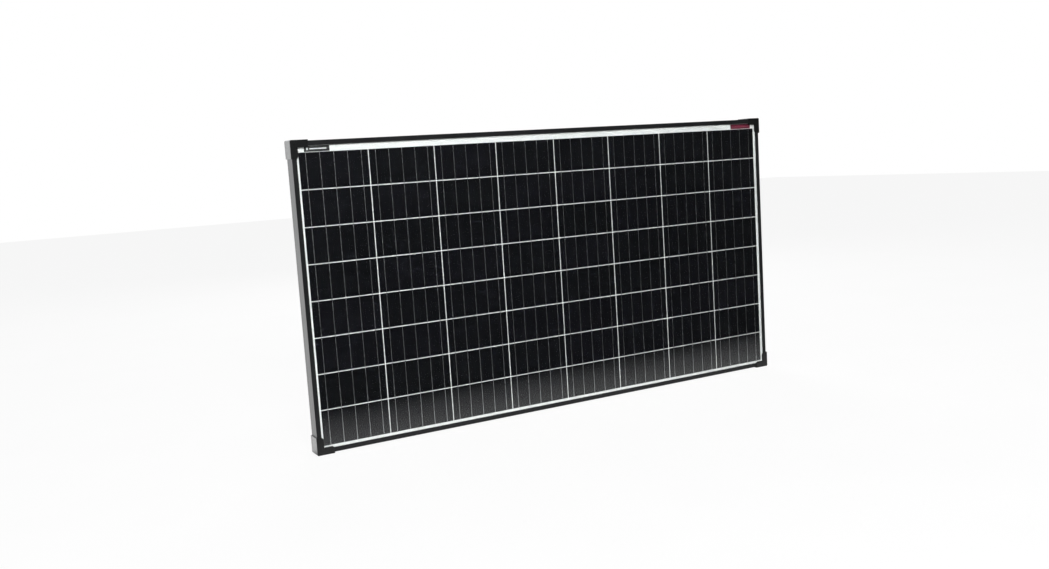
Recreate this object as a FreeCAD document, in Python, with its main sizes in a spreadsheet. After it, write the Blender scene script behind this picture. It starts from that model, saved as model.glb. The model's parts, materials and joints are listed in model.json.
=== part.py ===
import FreeCAD, Part
import math
import os
import re

import Sketcher

# Framed solar panel of 64 half cells, with corner caps and a rear junction box.
#
# Row frame: X runs along the panel's long side, Y points to its rear and Z up. The origin is the
# bottom centre of the bounding box, so the panel stands upright on its two bottom corner caps.
#
# Formulas are texts over the aliases of the sheet Dims. formula() expands the derived names, and
# every sketch size, feature length and placement is bound to such a text.

Vector = FreeCAD.Vector

# Driving dimensions, in millimetres. Depths are counted from the frame's front face to the rear.
DIMENSIONS = {
    # cells: half of a 156.75 mm square wafer
    "cell_width": 156.75,
    "cell_height": 78.375,
    "cell_gap": 2,
    "cell_columns": 8,
    "cell_rows": 8,
    "busbar_count": 5,
    "ribbon_width": 1,
    "ribbon_inset": 1,
    "margin_side": 16,
    "margin_top": 25,
    "margin_bottom": 16,
    # aluminium frame section
    "frame_depth": 35,
    "frame_wall": 1.6,
    "chamber_wall": 1.4,
    "lip_width": 10.5,
    "groove_end": 7.4,
    "chamber_end": 22,
    "flange_long": 28,
    "flange_short": 21,
    "edge_round": 0.5,
    "mitre_gap": 0.05,
    # holes in the frame
    "mount_spacing": 800,
    "mount_inset": 19,
    "mount_slot_radius": 4.5,
    "mount_slot_length": 14,
    "ground_offset": 60,
    "ground_radius": 2.1,
    "drain_offset": 62,
    "drain_radius": 2,
    "drain_length": 14,
    "drain_depth": 28,
    # corner keys and plastic corner caps
    "key_arm": 60,
    "key_clearance": 0.2,
    "cap_wall": 2.4,
    "cap_arm": 37.6,
    "cap_flange": 14,
    "cap_taper": 4,
    "cap_corner_round": 3,
    "cap_edge_round": 0.8,
    "cap_rib_height": 2,
    "cap_rib_width": 2,
    "cap_rib_inset": 1,
    # laminate: inset of its edge, and the depth where each layer starts
    "laminate_inset": 3,
    "seal_reach": 9.5,
    "glass_start": 2.2,
    "front_film_start": 5.4,
    "tag_start": 5.7,
    "mask_start": 5.8,
    "front_ribbon_start": 5.7,
    "cell_start": 5.9,
    "rear_ribbon_start": 6.1,
    "rear_film_start": 6.3,
    "insulation_end": 6.4,
    "backsheet_start": 6.6,
    "backsheet_end": 6.95,
    "strip_thickness": 0.1,
    # bus ribbons and masks beyond the ends of the cell columns
    "stub_clear": 0.3,
    "stub_reach": 7.5,
    "bus_width": 5,
    "bus_start": 2.5,
    "long_bus_start": 11,
    "long_bus_width": 4,
    "mask_clear": 0.6,
    "mask_top_inset": 3,
    "mask_bottom_inset": 2,
    "lead_width": 4,
    "lead_offset": 15,
    "window_half_width": 42,
    "window_end": 64,
    "slit_half_width": 22,
    "slit_height": 2,
    "window_margin": 1,
    "insulation_clear": 0.5,
    "tab_drop": 7,
    # tags in the top margin, counted from the left edge of the cells, and the rear plate
    "tag_height": 12.5,
    "tag_clear": 1,
    "left_tag_start": 13,
    "left_tag_width": 57,
    "right_tag_start": 1191,
    "right_tag_width": 68,
    "label_thickness": 0.15,
    "label_width": 86,
    "label_height": 54,
    "label_offset": 170,
    # junction box, counted from its base; its middle is box_drop below the frame's top face
    "box_width": 110,
    "box_height": 90,
    "box_depth": 18,
    "box_wall": 3,
    "box_floor": 2,
    "box_round": 5,
    "box_drop": 85,
    "pad_thickness": 1,
    "pad_inset": 1,
    "entry_height": 27,
    "entry_half_height": 3,
    "entry_half_width": 24,
    "boss_across": 46,
    "boss_drop": 37,
    "boss_radius": 5,
    "boss_top": 15.5,
    "lid_screw_hole": 2.1,
    "lid_screw_floor": 4,
    "lid_screw_radius": 1.5,
    "lid_screw_tip": 12,
    "lid_head_radius": 3,
    "lid_head_height": 1.5,
    "lid_head_recess": 1.6,
    "lid_head_hole": 3.3,
    "lid_hole_clearance": 0.2,
    "screw_slot_depth": 0.7,
    "screw_slot_width": 1,
    "lid_inset": 0.3,
    "lid_start": 18.3,
    "lid_thickness": 3,
    "lid_edge_round": 1,
    "lid_rib_depth": 1.8,
    "lid_rib_width": 1.2,
    "lid_rib_gap": 0.5,
    "lid_panel_width": 76,
    "lid_panel_height": 50,
    "lid_panel_rise": 0.6,
    "gasket_inset": 1,
    "gasket_width": 1.4,
    "gasket_height": 0.9,
    "gasket_proud": 0.2,
    "gasket_clearance": 0.1,
    "hinge_depth": 19.8,
    "hinge_rise": 3.2,
    "hinge_spread": 32,
    "knuckle_radius": 2.8,
    "knuckle_width": 10,
    "ear_start": 13,
    "ear_width": 3,
    "ear_gap": 0.3,
    "ear_clearance": 0.2,
    "rim_clearance": 0.1,
    "web_root": 1,
    "web_step": 0.2,
    "pin_radius": 1.25,
    "pin_clearance": 0.05,
    "pin_overhang": 0.3,
    # terminals inside the junction box
    "plate_start": 5,
    "plate_thickness": 0.8,
    "plate_inner": 6,
    "plate_outer": 32,
    "plate_bottom": -14,
    "plate_top": 19,
    "post_radius": 3.2,
    "post_across": 27,
    "post_low": -9,
    "post_high": 12,
    "terminal_screw_radius": 1.2,
    "terminal_screw_tip": 2.5,
    "terminal_head_radius": 2.4,
    "terminal_head_height": 1.7,
    "post_hole_clearance": 0.1,
    "plate_hole_clearance": 0.15,
    "diode_radius": 2.7,
    "diode_length": 9,
    "diode_depth": 9.5,
    "diode_low": -6,
    "diode_high": 6,
    "diode_lead_half": 0.5,
    "diode_lead_reach": 14,
    # cable glands, counted down from the junction box's bottom wall
    "gland_across": 28,
    "gland_depth": 9,
    "gland_hole": 6,
    "gland_bore": 3.4,
    "gland_thread": 5.5,
    "gland_collar": 3.5,
    "gland_stem": 15,
    "gland_flange": 7,
    "gland_end": 1,
    "gland_hexagon": 8.3,
    "gland_hexagon_start": 0.6,
    "nut_radius": 7.4,
    "nut_start": 5,
    "nut_end": 21,
    "nut_bore": 5.6,
    "nut_mouth": 4.2,
    "nut_floor": 2,
    "nut_lip": 1.4,
    "nut_slope": 4,
    "nut_grooves": 12,
    "nut_groove_radius": 0.9,
    "nut_groove_start": 3,
    "nut_groove_length": 11.5,
    "seal_bore": 2.8,
}

# Sizes worked out from the driving dimensions.
DERIVED = {
    "pitch_across": "cell_width + cell_gap",
    "pitch_down": "cell_height + cell_gap",
    "cells_width": "cell_columns * pitch_across - cell_gap",
    "cells_height": "cell_rows * pitch_down - cell_gap",
    "frame_width": "cells_width + 2 * margin_side",
    "frame_height": "cells_height + margin_top + margin_bottom",
    "half_width": "frame_width / 2",
    "half_height": "frame_height / 2",
    "half_depth": "frame_depth / 2",
    "frame_middle": "cap_wall + half_height",
    "cells_bottom": "margin_bottom - half_height",
    "cells_top": "half_height - margin_top",
    "rear": "half_depth",
    "front": "0 - half_depth",
    "groove_rear": "groove_end - half_depth",
    "chamber_rear": "chamber_end - half_depth",
    "key_thickness": "chamber_end - chamber_wall - groove_end - frame_wall - 2 * key_clearance",
    "key_middle": "(chamber_end - chamber_wall + groove_end + frame_wall) / 2 - half_depth",
    "key_low": "frame_wall + key_clearance",
    "key_high": "lip_width - chamber_wall - key_clearance",
    "busbar_pitch": "cell_width / busbar_count",
    "bus_reach": "2 * busbar_pitch + ribbon_width",
    "ribbon_thickness": "cell_start - front_ribbon_start",
    "film_thickness": "front_ribbon_start - front_film_start",
    "box_half_height": "box_height / 2",
    "box_middle": "frame_middle + half_height - box_drop",
    "box_base": "backsheet_end + pad_thickness - half_depth",
    "lid_top": "lid_start + lid_thickness",
    "hinge_height": "box_half_height + hinge_rise",
    "slit_middle": "half_height - box_drop + entry_height",
    "lead_end": "box_base + half_depth + plate_start + plate_thickness",
}

SIDES = {"bottom": 0, "left": 90, "top": 180, "right": -90}
CORNERS = {"bottom_left": 0, "top_left": 90, "top_right": 180, "bottom_right": -90}
COLUMNS = DIMENSIONS["cell_columns"]
BOTH_SIDES = ("", "0 - ")

doc = FreeCAD.newDocument("SolarPanel")
dims = doc.addObject("Spreadsheet::Sheet", "Dims")
for row, (alias, size) in enumerate(DIMENSIONS.items(), start=1):
    dims.set(f"A{row}", alias)
    dims.set(f"B{row}", str(size))
    dims.setAlias(f"B{row}", alias)
doc.recompute()

nodes = []


# ---------------------------------------------------------------- formulas and sketches


def formula(text):
    """A text over plain names, as an expression over the sheet's cells."""

    def expand(match):
        name = match.group(0)
        if name in DERIVED:
            return f"({formula(DERIVED[name])})"
        return f"Dims.{name}"

    return re.sub(r"[a-z]\w*", expand, str(text))


def number(text):
    """The present value of a formula."""
    return float(dims.evalExpression(formula(text)))


def bind(item, path, text):
    item.setExpression(path, formula(text))


def origin_plane(body, role):
    return next(item for item in body.Origin.OriginFeatures if item.Role == role)


def new_body(label, several=False):
    body = doc.addObject("PartDesign::Body", label)
    body.Label = label
    body.AllowCompound = several
    nodes.append(body)
    return body


def new_sketch(body, role, offset="0"):
    """A sketch on one of the body's origin planes, offset along the plane's normal."""
    sketch = body.newObject("Sketcher::SketchObject", f"{body.Label}_sketch")
    sketch.AttachmentSupport = [(origin_plane(body, role), "")]
    sketch.MapMode = "FlatFace"
    if offset != "0":
        bind(sketch, "AttachmentOffset.Base.z", offset)
    return sketch


def pin_point(sketch, geometry, position, x, y):
    """Fix one point of a sketch at a pair of formulas."""
    for kind, text in (("DistanceX", x), ("DistanceY", y)):
        index = sketch.addConstraint(
            Sketcher.Constraint(kind, -1, 1, geometry, position, number(text)))
        bind(sketch, f"Constraints[{index}]", text)


def add_polygon(sketch, corners):
    """A closed outline of straight lines through the corners."""
    first = sketch.GeometryCount
    count = len(corners)
    places = [Vector(number(x), number(y), 0) for x, y in corners]
    for index in range(count):
        line = Part.LineSegment(places[index], places[(index + 1) % count])
        sketch.addGeometry(line, False)
    for index, (x, y) in enumerate(corners):
        following = first + (index + 1) % count
        sketch.addConstraint(Sketcher.Constraint("Coincident", first + index, 2, following, 1))
        pin_point(sketch, first + index, 1, x, y)


def add_rectangle(sketch, left, bottom, right, top):
    add_polygon(sketch, [(left, bottom), (right, bottom), (right, top), (left, top)])


def add_circle(sketch, x, y, radius):
    circle = Part.Circle(Vector(number(x), number(y), 0), Vector(0, 0, 1), number(radius))
    index = sketch.addGeometry(circle, False)
    pin_point(sketch, index, 3, x, y)
    constraint = sketch.addConstraint(Sketcher.Constraint("Radius", index, number(radius)))
    bind(sketch, f"Constraints[{constraint}]", radius)


def add_slot(sketch, x, y, radius, length):
    """A round-ended slot of the given overall length along the sketch's x axis."""
    reach = f"({length}) / 2 - ({radius})"
    left = f"({x}) - ({reach})"
    right = f"({x}) + ({reach})"
    size = number(radius)
    quarter = math.pi / 2
    start = Vector(number(left), number(y), 0)
    end = Vector(number(right), number(y), 0)
    up = Vector(0, size, 0)
    normal = Vector(0, 0, 1)
    top = sketch.addGeometry(Part.LineSegment(start + up, end + up), False)
    right_arc = sketch.addGeometry(
        Part.ArcOfCircle(Part.Circle(end, normal, size), -quarter, quarter), False)
    bottom = sketch.addGeometry(Part.LineSegment(end - up, start - up), False)
    left_arc = sketch.addGeometry(
        Part.ArcOfCircle(Part.Circle(start, normal, size), quarter, 3 * quarter), False)
    for first, first_end, second, second_end in (
            (top, 2, right_arc, 2), (right_arc, 1, bottom, 1),
            (bottom, 2, left_arc, 2), (left_arc, 1, top, 1)):
        sketch.addConstraint(
            Sketcher.Constraint("Tangent", first, first_end, second, second_end))
    pin_point(sketch, right_arc, 3, right, y)
    pin_point(sketch, left_arc, 3, left, y)
    sketch.addConstraint(Sketcher.Constraint("Equal", right_arc, left_arc))
    index = sketch.addConstraint(Sketcher.Constraint("Radius", right_arc, size))
    bind(sketch, f"Constraints[{index}]", radius)


# ---------------------------------------------------------------- features


def pad(body, sketch, length, symmetric=False, flip=False):
    doc.recompute()
    feature = body.newObject("PartDesign::Pad", f"{body.Label}_pad")
    feature.Profile = sketch
    bind(feature, "Length", length)
    feature.SideType = "Symmetric" if symmetric else "One side"
    feature.Reversed = flip
    doc.recompute()
    return feature


def pocket(body, sketch, length=None, symmetric=False, flip=False):
    """Cut a sketch out of the body. No length means right through, both ways."""
    doc.recompute()
    before = body.Shape.Volume
    feature = body.newObject("PartDesign::Pocket", f"{body.Label}_pocket")
    feature.Profile = sketch
    if length is None:
        feature.Type = "ThroughAll"
    else:
        bind(feature, "Length", length)
    feature.SideType = "Symmetric" if symmetric or length is None else "One side"
    feature.Reversed = flip
    doc.recompute()
    if body.Shape.Volume >= before - 1e-6:
        raise RuntimeError(f"{body.Label}: {feature.Label} cuts nothing")
    return feature


def revolve(body, sketch):
    """A full turn of a sketch about its own vertical axis."""
    doc.recompute()
    feature = body.newObject("PartDesign::Revolution", f"{body.Label}_revolution")
    feature.Profile = sketch
    feature.ReferenceAxis = (sketch, ["V_Axis"])
    feature.Angle = 360
    doc.recompute()
    return feature


def fillet(body, radius, wanted):
    """Round every edge of the body that satisfies wanted(edge)."""
    tip = body.Tip
    names = [f"Edge{index}" for index, edge in enumerate(tip.Shape.Edges, start=1) if wanted(edge)]
    if not names:
        raise RuntimeError(f"{body.Label}: no edge to round")
    feature = body.newObject("PartDesign::Fillet", f"{body.Label}_fillet")
    feature.Base = (tip, names)
    bind(feature, "Radius", radius)
    doc.recompute()


def both_ends(wanted):
    """A test of edges, from a test that both of an edge's ends must pass."""
    return lambda edge: all(wanted(vertex.Point) for vertex in edge.Vertexes)


def runs_along(edge, axis):
    """Whether an edge's two ends lie over 1 mm apart along an axis."""
    return abs(getattr(edge.Vertexes[0], axis) - getattr(edge.Vertexes[-1], axis)) > 1


def near(value, text):
    return abs(value - number(text)) < 1e-4


def repeat(body, feature, sketch, across=None, down=None):
    """Pattern a feature along X and along the sketch's V axis, as (count, total length) each."""
    pattern = body.newObject("PartDesign::LinearPattern", f"{body.Label}_pattern")
    pattern.Originals = [feature]
    if across:
        pattern.Direction = (origin_plane(body, "YZ_Plane"), [""])
        bind(pattern, "Occurrences", across[0])
        bind(pattern, "Length", across[1])
    if down:
        second = "2" if across else ""
        setattr(pattern, f"Direction{second}", (sketch, ["V_Axis"]))
        setattr(pattern, f"Reversed{second}", True)
        bind(pattern, f"Occurrences{second}", down[0])
        bind(pattern, f"Length{second}", down[1])
    body.Tip = pattern
    doc.recompute()


def place(body, x="0", y="0", z="0", turn=0):
    """Put a body at three formulas, turned about Y by an angle in degrees."""
    body.Placement = FreeCAD.Placement(Vector(), FreeCAD.Rotation(Vector(0, 1, 0), turn))
    for path, text in (("x", x), ("y", y), ("z", z)):
        bind(body, f"Placement.Base.{path}", text)


def place_in_laminate(body, depth, x="0", z="0", turn=0):
    """Put a body's y = 0 at a depth behind the frame's front face."""
    place(body, x, f"{depth} - half_depth", f"frame_middle + {z}", turn)


def place_in_box(body, x="0", y="0", z="0"):
    """Put a body at a point counted from the middle of the junction box's base."""
    place(body, x, f"box_base + {y}", f"box_middle + {z}")


def sheet(label, thickness, outlines, several=False):
    """A flat piece: outlines in X and Z, thickened towards the rear."""
    body = new_body(label, several)
    sketch = new_sketch(body, "XZ_Plane")
    for outline in outlines:
        add_polygon(sketch, outline)
    pad(body, sketch, thickness, flip=True)
    return body


def rectangle(left, bottom, right, top):
    return [(left, bottom), (right, bottom), (right, top), (left, top)]


def centred(width, height):
    return rectangle(f"0 - ({width}) / 2", f"0 - ({height}) / 2", f"({width}) / 2", f"({height}) / 2")


# ---------------------------------------------------------------- frame


def cut_mitres(body, length):
    """Cut both ends of a piece along X at 45 degrees, outwards from its outer face."""
    sketch = new_sketch(body, "XZ_Plane")
    depth = "2 * flange_long"
    for sign in BOTH_SIDES:
        end = f"{sign}(({length}) / 2 - mitre_gap)"
        far = f"{sign}(({length}) / 2 + frame_wall)"
        inner = f"{sign}(({length}) / 2 - mitre_gap - {depth})"
        add_polygon(sketch, [(end, "0"), (far, "0"), (far, depth), (inner, depth)])
    pocket(body, sketch)


def place_on_side(body, side):
    """Put a piece made along X, with its outer face at z = 0, on one side of the frame."""
    x = {"left": "0 - half_width", "right": "half_width"}.get(side, "0")
    z = {"bottom": "0 - half_height", "top": "half_height"}.get(side, "0")
    place(body, x, "0", f"frame_middle + {z}", SIDES[side])


def side_length(side):
    return "frame_width" if side in ("top", "bottom") else "frame_height"


def make_rail(side):
    """A mitred rail: glass groove at the front, closed chamber behind it, flange at the rear."""
    body = new_body(f"rail_{side}")
    length = side_length(side)
    is_long = side in ("top", "bottom")
    flange = "flange_long" if is_long else "flange_short"
    sketch = new_sketch(body, "YZ_Plane")
    add_polygon(sketch, [
        ("front", "0"), ("front", "lip_width"),
        ("front + frame_wall", "lip_width"), ("front + frame_wall", "frame_wall"),
        ("groove_rear", "frame_wall"), ("groove_rear", "lip_width"),
        ("chamber_rear", "lip_width"), ("chamber_rear", "frame_wall"),
        ("rear - frame_wall", "frame_wall"), ("rear - frame_wall", flange),
        ("rear", flange), ("rear", "0")])
    add_rectangle(sketch, "groove_rear + frame_wall", "frame_wall",
                  "chamber_rear - chamber_wall", "lip_width - chamber_wall")
    pad(body, sketch, length, symmetric=True)

    def outer_edge(edge):
        point = edge.Vertexes[0].Point
        at_front = near(point.y, "front") and (near(point.z, "0") or near(point.z, "lip_width"))
        at_rear = near(point.y, "rear") and (near(point.z, "0") or near(point.z, flange))
        return runs_along(edge, "X") and (at_front or at_rear)

    fillet(body, "edge_round", outer_edge)
    cut_mitres(body, length)
    if is_long:
        holes = new_sketch(body, "XZ_Plane")
        for sign in BOTH_SIDES:
            add_slot(holes, f"{sign}mount_spacing / 2", "mount_inset",
                     "mount_slot_radius", "mount_slot_length")
            add_circle(holes, f"{sign}ground_offset", "mount_inset", "ground_radius")
        pocket(body, holes)
        drains = new_sketch(body, "XY_Plane")
        for sign in BOTH_SIDES:
            add_slot(drains, f"{sign}(({length}) / 2 - drain_offset)", "drain_depth - half_depth",
                     "drain_radius", "drain_length")
        pocket(body, drains, "2 * frame_wall", flip=True)
    place_on_side(body, side)


def make_edge_seal(side):
    """The foam gasket round the laminate's edge, a mitred U in the rail's groove."""
    body = new_body(f"edge_seal_{side}")
    length = side_length(side)
    sketch = new_sketch(body, "YZ_Plane")
    glass_front = "glass_start - half_depth"
    laminate_rear = "backsheet_end - half_depth"
    add_polygon(sketch, [
        ("front + frame_wall", "frame_wall"), ("front + frame_wall", "seal_reach"),
        (glass_front, "seal_reach"), (glass_front, "laminate_inset"),
        (laminate_rear, "laminate_inset"), (laminate_rear, "seal_reach"),
        ("groove_rear", "seal_reach"), ("groove_rear", "frame_wall")])
    pad(body, sketch, length, symmetric=True)
    cut_mitres(body, length)
    place_on_side(body, side)


def place_on_corner(body, corner, depth):
    """Put a piece whose arms run along +X and +Z from the frame's outer corner."""
    x = "0 - half_width" if "left" in corner else "half_width"
    z = "0 - half_height" if "bottom" in corner else "half_height"
    place(body, x, depth, f"frame_middle + {z}", CORNERS[corner])


def make_corner_key(corner):
    """The aluminium angle pressed into the chambers of the two rails that meet."""
    body = new_body(f"corner_key_{corner}")
    sketch = new_sketch(body, "XZ_Plane")
    add_polygon(sketch, [
        ("key_low", "key_low"), ("key_arm", "key_low"), ("key_arm", "key_high"),
        ("key_high", "key_high"), ("key_high", "key_arm"), ("key_low", "key_arm")])
    pad(body, sketch, "key_thickness", symmetric=True)
    place_on_corner(body, corner, "key_middle")


def make_corner_cap(corner):
    """A plastic cap that wraps the frame's corner: two side walls, a front and a rear flange."""
    body = new_body(f"corner_cap_{corner}")
    outer = new_sketch(body, "XZ_Plane")
    low = "0 - cap_wall"
    add_polygon(outer, [
        (low, low), ("cap_arm", low), ("cap_arm", "cap_flange - cap_taper"),
        ("cap_arm - cap_taper", "cap_flange"), ("cap_flange", "cap_flange"),
        ("cap_flange", "cap_arm - cap_taper"), ("cap_flange - cap_taper", "cap_arm"),
        (low, "cap_arm")])
    pad(body, outer, "frame_depth + 2 * cap_wall", symmetric=True)
    inside = new_sketch(body, "XZ_Plane")
    add_rectangle(inside, "0", "0", "2 * cap_arm", "2 * cap_arm")
    pocket(body, inside, "frame_depth", symmetric=True)

    fillet(body, "cap_corner_round",
           both_ends(lambda point: near(point.x, low) and near(point.z, low)))
    fillet(body, "cap_edge_round",
           both_ends(lambda point: near(abs(point.y), "half_depth + cap_wall")))
    rib = new_sketch(body, "XZ_Plane", "half_depth")
    near_side = "lip_width + key_clearance"
    far_side = f"{near_side} + cap_rib_width"
    rib_end = "cap_arm - cap_taper - cap_rib_inset"
    add_polygon(rib, [
        (near_side, near_side), (rib_end, near_side), (rib_end, far_side),
        (far_side, far_side), (far_side, rib_end), (near_side, rib_end)])
    pad(body, rib, "cap_rib_height", flip=True)
    place_on_corner(body, corner, "0")


# ---------------------------------------------------------------- laminate


def make_laminate_sheets():
    width = "frame_width - 2 * laminate_inset"
    height = "frame_height - 2 * laminate_inset"
    glass = sheet("front_glass", "front_film_start - glass_start", [centred(width, height)])
    place_in_laminate(glass, "glass_start")
    front_film = sheet("front_encapsulant", "film_thickness", [centred(width, height)])
    place_in_laminate(front_film, "front_film_start")
    window = rectangle("0 - window_half_width", "half_height - window_end",
                       "window_half_width", "half_height - seal_reach + window_margin")
    rear_film = sheet("rear_encapsulant", "backsheet_start - rear_film_start",
                      [centred(width, height), window])
    place_in_laminate(rear_film, "rear_film_start")
    slit = rectangle("0 - slit_half_width", "slit_middle - slit_height / 2",
                     "slit_half_width", "slit_middle + slit_height / 2")
    backsheet = sheet("backsheet", "backsheet_end - backsheet_start",
                      [centred(width, height), slit])
    place_in_laminate(backsheet, "backsheet_start")


def column_middle(column):
    """X of the middle of a cell column, counted from 1 at the left."""
    return f"({column} - (cell_columns + 1) / 2) * pitch_across"


def make_cell_column(column):
    """One column of half cells, its top cell first."""
    body = new_body(f"cell_column_{column}", several=True)
    sketch = new_sketch(body, "XZ_Plane")
    add_rectangle(sketch, "0 - cell_width / 2", "cells_top - cell_height",
                  "cell_width / 2", "cells_top")
    first = pad(body, sketch, "rear_ribbon_start - cell_start", flip=True)
    repeat(body, first, sketch, down=("cell_rows", "(cell_rows - 1) * pitch_down"))
    place_in_laminate(body, "cell_start", column_middle(column))


def make_cell_ribbons(column):
    """The ribbons that join each cell's front to the back of the next one down.

    Even columns are turned over end for end, so that their current runs the other way.
    Depths are counted from the front of the front ribbon layer.
    """
    body = new_body(f"cell_ribbons_{column}", several=True)
    cell_front = "cell_start - front_ribbon_start"
    cell_back = "rear_ribbon_start - front_ribbon_start"
    back = "rear_film_start - front_ribbon_start"
    start = "0 - 2 * busbar_pitch"
    middle = "(cells_top + cells_bottom) / 2"
    across = ("busbar_count", "(busbar_count - 1) * busbar_pitch")

    def strip(corners, shift, down=None):
        """Corners are (depth, height), with the heights counted from shift."""
        sketch = new_sketch(body, "YZ_Plane", start)
        add_polygon(sketch, [(depth, f"{height} + {shift} - ({middle})")
                             for depth, height in corners])
        feature = pad(body, sketch, "ribbon_width", symmetric=True)
        repeat(body, feature, sketch, across, down)

    first_bottom = "cells_top - cell_height"
    overlap = "cell_height - ribbon_inset"
    above_step = "(ribbon_thickness - cell_gap) / 2"
    below_step = "0 - (ribbon_thickness + cell_gap) / 2"
    lower_end = "ribbon_inset - cell_height - cell_gap"
    stub_near = "stub_clear"
    stub_far = "stub_clear + ribbon_thickness"
    strip([("0", overlap), (cell_front, overlap), (cell_front, above_step), (back, above_step),
           (back, lower_end), (cell_back, lower_end), (cell_back, below_step),
           ("0", below_step)], first_bottom,
          ("cell_rows - 1", "(cell_rows - 2) * pitch_down"))
    strip([("0", overlap), (cell_front, overlap), (cell_front, f"0 - {stub_near}"),
           (cell_back, f"0 - {stub_near}"), (cell_back, "0 - stub_reach"),
           (cell_front, "0 - stub_reach"), (cell_front, f"0 - ({stub_far})"),
           ("0", f"0 - ({stub_far})")], "cells_bottom")
    strip([(back, f"0 - ({overlap})"), (back, stub_far), (cell_back, stub_far),
           (cell_back, "stub_reach"), (cell_front, "stub_reach"), (cell_front, stub_near),
           (cell_back, stub_near), (cell_back, f"0 - ({overlap})")], "cells_top")
    place_in_laminate(body, "front_ribbon_start", column_middle(column), middle,
                      0 if column % 2 else 180)


def bus_rectangle(first, last, low, high):
    """A bus ribbon from the outer ribbon of one column to the outer ribbon of another."""
    return rectangle(f"{column_middle(first)} - bus_reach", low,
                     f"{column_middle(last)} + bus_reach", high)


def make_bus_ribbons():
    """The cross ribbons: two halves of four columns in series, the halves in parallel."""
    thickness = "rear_film_start - rear_ribbon_start"
    low = "cells_bottom - bus_start - bus_width"
    high = "cells_bottom - bus_start"
    bottom = sheet("bus_ribbons_bottom", thickness,
                   [bus_rectangle(first, first + 1, low, high) for first in range(1, COLUMNS, 2)],
                   several=True)
    place_in_laminate(bottom, "rear_ribbon_start")
    low = "cells_top + bus_start"
    high = "cells_top + bus_start + bus_width"
    long_low = "cells_top + long_bus_start"
    long_high = f"{long_low} + long_bus_width"
    left = f"{column_middle(1)} - bus_reach"
    right = f"{column_middle(COLUMNS)} + bus_reach"
    left_inner = f"{column_middle(1)} + bus_reach"
    right_inner = f"{column_middle(COLUMNS)} - bus_reach"
    left_riser = f"{left} + bus_width"
    right_riser = f"{right} - bus_width"
    long_bus = [(left, low), (left_inner, low), (left_inner, high), (left_riser, high),
                (left_riser, long_low), (right_riser, long_low), (right_riser, high),
                (right_inner, high), (right_inner, low), (right, low), (right, long_high),
                (left, long_high)]
    short_buses = [bus_rectangle(first, first + 1, low, high) for first in range(2, COLUMNS, 2)]
    top = sheet("bus_ribbons_top", thickness, short_buses + [long_bus], several=True)
    place_in_laminate(top, "rear_ribbon_start")


def make_mask_strips():
    """The white strips that hide the bus ribbons from the front."""
    masks = sheet("mask_strips", "strip_thickness", [
        rectangle("0 - cells_width / 2", "cells_top + mask_clear", "cells_width / 2",
                  "half_height - laminate_inset - mask_top_inset"),
        rectangle("0 - cells_width / 2", "laminate_inset + mask_bottom_inset - half_height",
                  "cells_width / 2", "cells_bottom - mask_clear")], several=True)
    place_in_laminate(masks, "mask_start")


def make_lead_ribbons():
    """The two ribbons from the top buses, down behind the cells and out to the terminals."""
    body = new_body("lead_ribbons", several=True)
    bus_levels = (("0 - lead_offset", "cells_top + bus_start", "bus_width"),
                  ("lead_offset", "cells_top + long_bus_start", "long_bus_width"))
    inner = "rear_film_start"
    run = "insulation_end"
    outer = "backsheet_start"
    tab = "box_middle - frame_middle + plate_top - tab_drop"
    for offset, foot, height in bus_levels:
        sketch = new_sketch(body, "YZ_Plane", offset)
        add_polygon(sketch, [
            (inner, f"{foot} + {height}"), (inner, foot), (run, foot), (run, "slit_middle"),
            ("lead_end", "slit_middle"), ("lead_end", tab), ("lead_end + ribbon_thickness", tab),
            ("lead_end + ribbon_thickness", "slit_middle + ribbon_thickness"),
            (outer, "slit_middle + ribbon_thickness"), (outer, f"{foot} + {height}")])
        pad(body, sketch, "lead_width", symmetric=True)
    place_in_laminate(body, "0")
    notch = "lead_offset - lead_width"
    left = "window_margin - window_half_width"
    right = "window_half_width - window_margin"
    low = "half_height - window_end + window_margin"
    under_long_bus = "cells_top + long_bus_start - insulation_clear"
    under_short_bus = "cells_top + bus_start - insulation_clear"
    strip = sheet("insulation_strip", "insulation_end - rear_film_start", [[
        (left, low), (right, low), (right, under_long_bus), (notch, under_long_bus),
        (notch, under_short_bus), (left, under_short_bus)]])
    place_in_laminate(strip, "rear_film_start")


def make_labels():
    """Two blank tags in the top margin and a blank rating plate on the rear."""
    low = "cells_top + tag_clear"
    for side in ("left", "right"):
        start = f"{side}_tag_start - cells_width / 2"
        end = f"{start} + {side}_tag_width"
        tag = sheet(f"front_tag_{side}", "strip_thickness", [
            rectangle(start, low, end, f"{low} + tag_height")])
        place_in_laminate(tag, "tag_start")
    plate = sheet("rear_label", "label_thickness", [centred("label_width", "label_height")])
    place_in_laminate(plate, "backsheet_end", "0 - label_offset", "half_height - box_drop")


# ---------------------------------------------------------------- junction box


def add_boss_circles(sketch, across, heights, radius):
    for sign in BOTH_SIDES:
        for height in heights:
            add_circle(sketch, f"{sign}{across}", height, radius)


def hinge_plates(body, web, spans, bore):
    """Knuckles about the hinge axis: each span along X gets a disc and a web to the box."""
    for left, right in spans:
        width = f"({right}) - ({left})"
        web_sketch = new_sketch(body, "YZ_Plane", left)
        add_polygon(web_sketch, web)
        pad(body, web_sketch, width)
        disc_sketch = new_sketch(body, "YZ_Plane", left)
        add_circle(disc_sketch, "hinge_depth", "hinge_height", "knuckle_radius")
        pad(body, disc_sketch, width)
    holes = new_sketch(body, "YZ_Plane")
    add_circle(holes, "hinge_depth", "hinge_height", bore)
    pocket(body, holes)


def ear_spans():
    spans = []
    for centre in ("hinge_spread", "0 - hinge_spread"):
        inner = "knuckle_width / 2 + ear_gap"
        spans.append((f"{centre} + {inner}", f"{centre} + {inner} + ear_width"))
        spans.append((f"{centre} - ({inner}) - ear_width", f"{centre} - ({inner})"))
    return spans


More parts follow.
